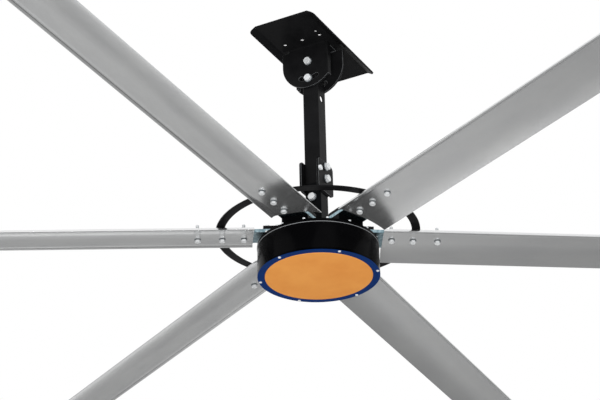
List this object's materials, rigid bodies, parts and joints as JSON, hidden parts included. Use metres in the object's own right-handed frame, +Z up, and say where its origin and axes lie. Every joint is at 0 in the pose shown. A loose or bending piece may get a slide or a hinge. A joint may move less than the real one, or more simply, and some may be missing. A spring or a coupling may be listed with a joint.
{
  "type": "industrial ceiling fan",
  "caption": "Ceiling fan with long pitched extruded blades on a round gearless hub, hung by a square drop tube from a tilting yoke under a bolted ceiling plate.",
  "frame": {"origin": "middle of the ceiling plate's top face, at the centre of its bolt holes", "axes": "+Z up along the drop tube, +Y along the plate's long side and the tilt axis, +X across the plate"},
  "size_m": [3.2864, 3.6014, 0.906],
  "materials": {
    "black_paint": "gloss black powder coat",
    "casing_black": "gloss black paint on cast aluminium",
    "stem_black": "gloss black paint",
    "zinc_fastener": "bright zinc plating",
    "zinc_iron": "bluish zinc plating",
    "blade_aluminium": "satin, drawn lengthways",
    "orange_paint": "satin orange paint",
    "blue_paint": "gloss dark blue paint",
    "ground_steel": "ground",
    "casting": "as cast",
    "core_steel": "stacked sheets",
    "copper_winding": "varnished copper wire",
    "magnet": "sintered, uncoated"
  },
  "bodies": {
    "ceiling_bracket": {"top_plate": "black_paint", "yoke": "black_paint", "yoke_welds": "black_paint", "pivot_bolt": "zinc_fastener", "pivot_nut": "zinc_fastener", "pivot_washers": "zinc_fastener"},
    "hanger": {"drop_tube": "black_paint", "lock_bolt": "zinc_fastener", "lock_nut": "zinc_fastener", "lock_washers": "zinc_fastener", "splice_plate_right": "black_paint", "splice_plate_left": "black_paint", "splice_bolts": "zinc_fastener", "splice_nuts": "zinc_fastener", "splice_washers": "zinc_fastener", "ear_screw": "zinc_fastener", "splice_welds": "black_paint", "motor_stem": "stem_black", "stem_bolt": "zinc_fastener", "stem_nut": "zinc_fastener", "stem_washers": "zinc_fastener", "motor_shaft": "ground_steel", "stator_carrier": "casting", "stator_core": "core_steel", "stator_coils": "copper_winding", "bearing_inner_rings": "ground_steel"},
    "rotor": {"motor_drum": "casing_black", "top_cover": "casing_black", "bottom_cover": "blue_paint", "face_disc": "orange_paint", "top_cover_screws": "zinc_fastener", "rim_screws": "zinc_fastener", "rotor_magnets": "magnet", "bearing_outer_rings": "ground_steel", "bearing_balls": "ground_steel", "spigot_1": "zinc_iron", "spigot_2": "zinc_iron", "spigot_3": "zinc_iron", "spigot_4": "zinc_iron", "spigot_5": "zinc_iron", "spigot_6": "zinc_iron", "clamp_1": "black_paint", "clamp_2": "black_paint", "clamp_3": "black_paint", "clamp_4": "black_paint", "clamp_5": "black_paint", "clamp_6": "black_paint", "clamp_screws": "zinc_fastener", "blade_1": "blade_aluminium", "blade_2": "blade_aluminium", "blade_3": "blade_aluminium", "blade_4": "blade_aluminium", "blade_5": "blade_aluminium", "blade_6": "blade_aluminium", "blade_bolts": "zinc_fastener", "blade_nuts": "zinc_fastener", "blade_washers": "zinc_fastener", "ring_bolts": "zinc_fastener", "safety_ring": "black_paint", "ring_wedges": "zinc_fastener"}
  },
  "joints": [
    {"name": "hanger_tilt", "type": "hinge", "parent": "ceiling_bracket", "child": "hanger", "pos_m": [0, 0, -0.071], "axis": [0, 1, 0], "range_deg": [-25, 25]},
    {"name": "rotor_spin", "type": "hinge", "parent": "hanger", "child": "rotor", "pos_m": [0, 0, -0.85], "axis": [0, 0, 1], "continuous": true}
  ]
}
